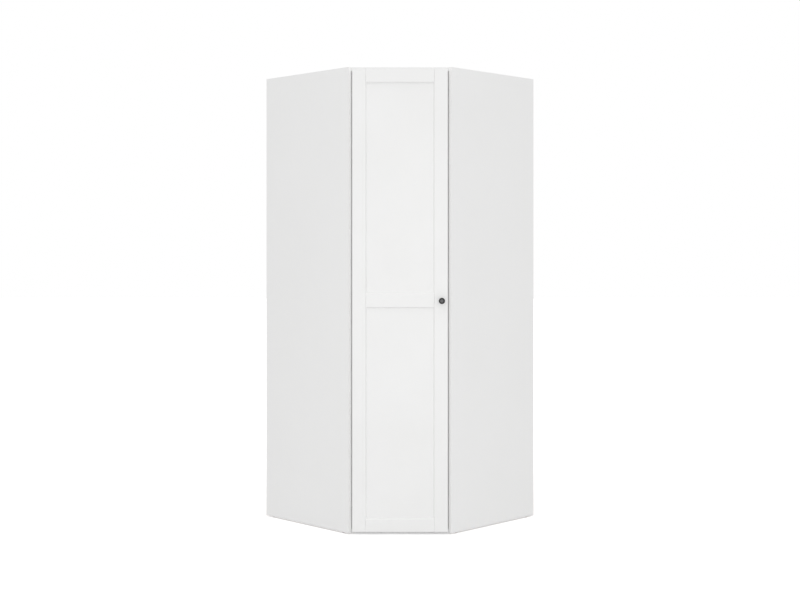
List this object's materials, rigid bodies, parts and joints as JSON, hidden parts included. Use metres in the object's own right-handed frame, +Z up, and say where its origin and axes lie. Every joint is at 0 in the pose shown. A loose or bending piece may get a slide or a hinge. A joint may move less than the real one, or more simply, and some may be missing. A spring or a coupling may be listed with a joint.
{
  "type": "corner wardrobe",
  "caption": "Five-sided corner wardrobe with one framed door across its diagonal front on concealed hinges, a black knob, a hat shelf and a clothes rail.",
  "frame": {"origin": "on the floor, under the middle of the whole wardrobe's bounding box", "axes": "+Z up, the door faces -Y, +X to the right for someone facing the door, the room's corner lies at +Y"},
  "size_m": [1.2898, 1.0912, 2.11],
  "materials": {
    "board": "white melamine-coated particle board, matt",
    "foil": "white foil on fibreboard, silk matt",
    "hardboard": "hardboard, white lacquered towards the inside and bare brown towards the wall",
    "pine": "planed softwood",
    "black_metal": "black powder coat, satin",
    "steel": "nickel-plated steel, satin",
    "chrome": "chromed steel tube",
    "plastic": "white polyethylene",
    "rubber": "soft clear bumper"
  },
  "bodies": {
    "cabinet": {"side_panel_left": "board", "side_panel_right": "board", "top_board": "board", "bottom_board": "board", "hat_shelf": "board", "back_panel_left": "hardboard", "back_panel_right": "hardboard", "corner_post": "pine", "shelf_cleat": "pine", "clothes_rail": "chrome", "rail_hanger_left": "chrome", "rail_hanger_right": "chrome", "wall_angle_left": "steel", "wall_angle_right": "steel", "shelf_pin_left_front": "steel", "shelf_pin_left_rear": "steel", "shelf_pin_right_front": "steel", "shelf_pin_right_rear": "steel", "cam_lock_top_left_front": "steel", "cam_lock_top_left_rear": "steel", "cam_lock_top_right_front": "steel", "cam_lock_top_right_rear": "steel", "cam_lock_bottom_left_front": "steel", "cam_lock_bottom_left_rear": "steel", "cam_lock_bottom_right_front": "steel", "cam_lock_bottom_right_rear": "steel", "glide_left_front": "plastic", "glide_left_rear": "plastic", "glide_right_front": "plastic", "glide_right_rear": "plastic", "glide_middle_front": "plastic", "glide_middle_corner": "plastic", "bumper_top": "rubber", "bumper_bottom": "rubber", "hinge_arm_1": "steel", "hinge_arm_2": "steel", "hinge_arm_3": "steel", "hinge_arm_4": "steel", "hinge_plate_1": "steel", "hinge_plate_2": "steel", "hinge_plate_3": "steel", "hinge_plate_4": "steel"},
    "door": {"door_stile_left": "foil", "door_stile_right": "foil", "door_rail_bottom": "foil", "door_rail_middle": "foil", "door_rail_top": "foil", "door_panel_lower": "foil", "door_panel_upper": "foil", "knob": "black_metal", "knob_screw": "steel", "hinge_cup_1": "steel", "hinge_cup_2": "steel", "hinge_cup_3": "steel", "hinge_cup_4": "steel"},
    "hinge_links": {"hinge_link_1": "steel", "hinge_link_2": "steel", "hinge_link_3": "steel", "hinge_link_4": "steel"}
  },
  "joints": [
    {"name": "door_hinge", "type": "hinge", "parent": "cabinet", "child": "door", "pos_m": [-0.2106, -0.51606, 1.0555], "axis": [0, 0, -1], "range_deg": [0, 95]},
    {"name": "hinge_link_turn", "type": "hinge", "parent": "cabinet", "child": "hinge_links", "pos_m": [-0.172, -0.49476, 1.0555], "axis": [0, 0, 1], "range_deg": [0, 23.75]}
  ],
  "couplings": [
    {"joint": "hinge_link_turn", "follows": "door_hinge", "ratio": 0.25}
  ]
}
